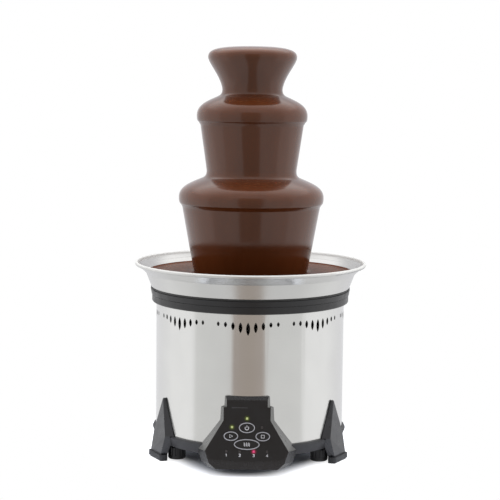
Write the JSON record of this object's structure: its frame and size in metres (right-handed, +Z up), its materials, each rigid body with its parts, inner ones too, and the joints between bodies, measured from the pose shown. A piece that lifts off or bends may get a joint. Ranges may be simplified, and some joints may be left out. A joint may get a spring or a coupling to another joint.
{
  "type": "chocolate fountain",
  "caption": "Table-top chocolate fountain: steel drum on splayed legs, heated bowl, lift-off tiered tower with a geared lifting screw, flowing chocolate and a front key panel.",
  "frame": {"origin": "on the table, under the axis of the tower", "axes": "+Z up along the tower's axis, -Y towards the control pod, +X to the right of someone facing it"},
  "size_m": [0.2592, 0.2592, 0.4555],
  "materials": {
    "drum_steel": "satin",
    "bowl_steel": "polished",
    "tower_steel": "satin",
    "shaft_steel": "ground",
    "plate_steel": "zinc plated",
    "magnet_iron": "plain",
    "brass": "turned",
    "heater_metal": "plain",
    "black_moulding": "satin",
    "base_moulding": "satin",
    "leg_grey": "satin",
    "sole_rubber": "matt",
    "knob_black": "satin",
    "panel_black": "semi-gloss",
    "key_black": "semi-gloss",
    "gear_plastic": "plain",
    "board_green": "plain",
    "light_green": "lit",
    "light_red": "lit",
    "light_dark": "unlit",
    "chocolate": "wet gloss"
  },
  "bodies": {
    "base": {"outer_shell": "drum_steel", "basin": "bowl_steel", "shaft_hub": "bowl_steel", "locating_pins": "bowl_steel", "idler_pin": "shaft_steel", "hanger_posts": "shaft_steel", "gear_pillars": "shaft_steel", "tie_rods": "shaft_steel", "gear_plate_top": "plate_steel", "gear_plate_bottom": "plate_steel", "motor_can": "plate_steel", "motor_endcap": "plate_steel", "motor_magnets": "magnet_iron", "hub_nut": "brass", "shaft_bush": "brass", "heater_plate": "heater_metal", "heater_element": "heater_metal", "top_ring": "black_moulding", "collar": "black_moulding", "control_pod": "black_moulding", "base_tray": "base_moulding", "cord_gland": "base_moulding", "leg_left": "leg_grey", "leg_right": "leg_grey", "leg_rear": "leg_grey", "leg_soles": "sole_rubber", "bowl_seal": "sole_rubber", "shaft_seal": "sole_rubber", "panel_overlay": "panel_black", "thermostat": "gear_plastic", "key_switches": "gear_plastic", "control_board": "board_green", "power_board": "board_green", "lights_green": "light_green", "light_red": "light_red", "lights_off": "light_dark", "chocolate_pool": "chocolate"},
    "rotor": {"rotor_shaft": "shaft_steel", "rotor_core": "magnet_iron", "cooling_fan": "base_moulding"},
    "idler": {"compound_gear": "gear_plastic"},
    "drive": {"output_gear": "gear_plastic", "output_shaft": "shaft_steel", "drive_pin": "shaft_steel", "auger": "gear_plastic"},
    "tower": {"tower_tube": "tower_steel", "lower_tier": "tower_steel", "upper_tier": "tower_steel", "crown": "tower_steel", "chocolate_crown": "chocolate", "chocolate_upper": "chocolate", "chocolate_lower": "chocolate"},
    "power_key": {"key_power": "key_black"},
    "start_key": {"key_start": "key_black"},
    "stop_key": {"key_stop": "key_black"},
    "heat_key": {"key_heat": "key_black"},
    "foot_left": {"level_foot_left": "knob_black"},
    "foot_right": {"level_foot_right": "knob_black"},
    "foot_rear": {"level_foot_rear": "knob_black"}
  },
  "joints": [
    {"name": "motor_spin", "type": "hinge", "parent": "base", "child": "rotor", "pos_m": [0, 0, 0.09], "axis": [0, 0, 1], "continuous": true},
    {"name": "idler_spin", "type": "hinge", "parent": "base", "child": "idler", "pos_m": [0, 0.03, 0.13], "axis": [0, 0, 1], "continuous": true},
    {"name": "auger_spin", "type": "hinge", "parent": "base", "child": "drive", "pos_m": [0, 0, 0.2], "axis": [0, 0, 1], "continuous": true},
    {"name": "tower_lift", "type": "slide", "parent": "base", "child": "tower", "axis": [0, 0, 1], "range_m": [0, 0.3]},
    {"name": "power_press", "type": "slide", "parent": "base", "child": "power_key", "axis": [0, 0.9903, -0.1392], "range_m": [0, 0.0006], "stiffness_N_per_m": 400},
    {"name": "start_press", "type": "slide", "parent": "base", "child": "start_key", "axis": [0, 0.9903, -0.1392], "range_m": [0, 0.0006], "stiffness_N_per_m": 400},
    {"name": "stop_press", "type": "slide", "parent": "base", "child": "stop_key", "axis": [0, 0.9903, -0.1392], "range_m": [0, 0.0006], "stiffness_N_per_m": 400},
    {"name": "heat_press", "type": "slide", "parent": "base", "child": "heat_key", "axis": [0, 0.9903, -0.1392], "range_m": [0, 0.0006], "stiffness_N_per_m": 400},
    {"name": "level_left", "type": "slide", "parent": "base", "child": "foot_left", "axis": [0, 0, -1], "range_m": [0, 0.006]},
    {"name": "level_right", "type": "slide", "parent": "base", "child": "foot_right", "axis": [0, 0, -1], "range_m": [0, 0.006]},
    {"name": "level_rear", "type": "slide", "parent": "base", "child": "foot_rear", "axis": [0, 0, -1], "range_m": [0, 0.006]}
  ],
  "couplings": [
    {"joint": "idler_spin", "follows": "motor_spin", "ratio": -0.25},
    {"joint": "auger_spin", "follows": "motor_spin", "ratio": 0.083333}
  ]
}
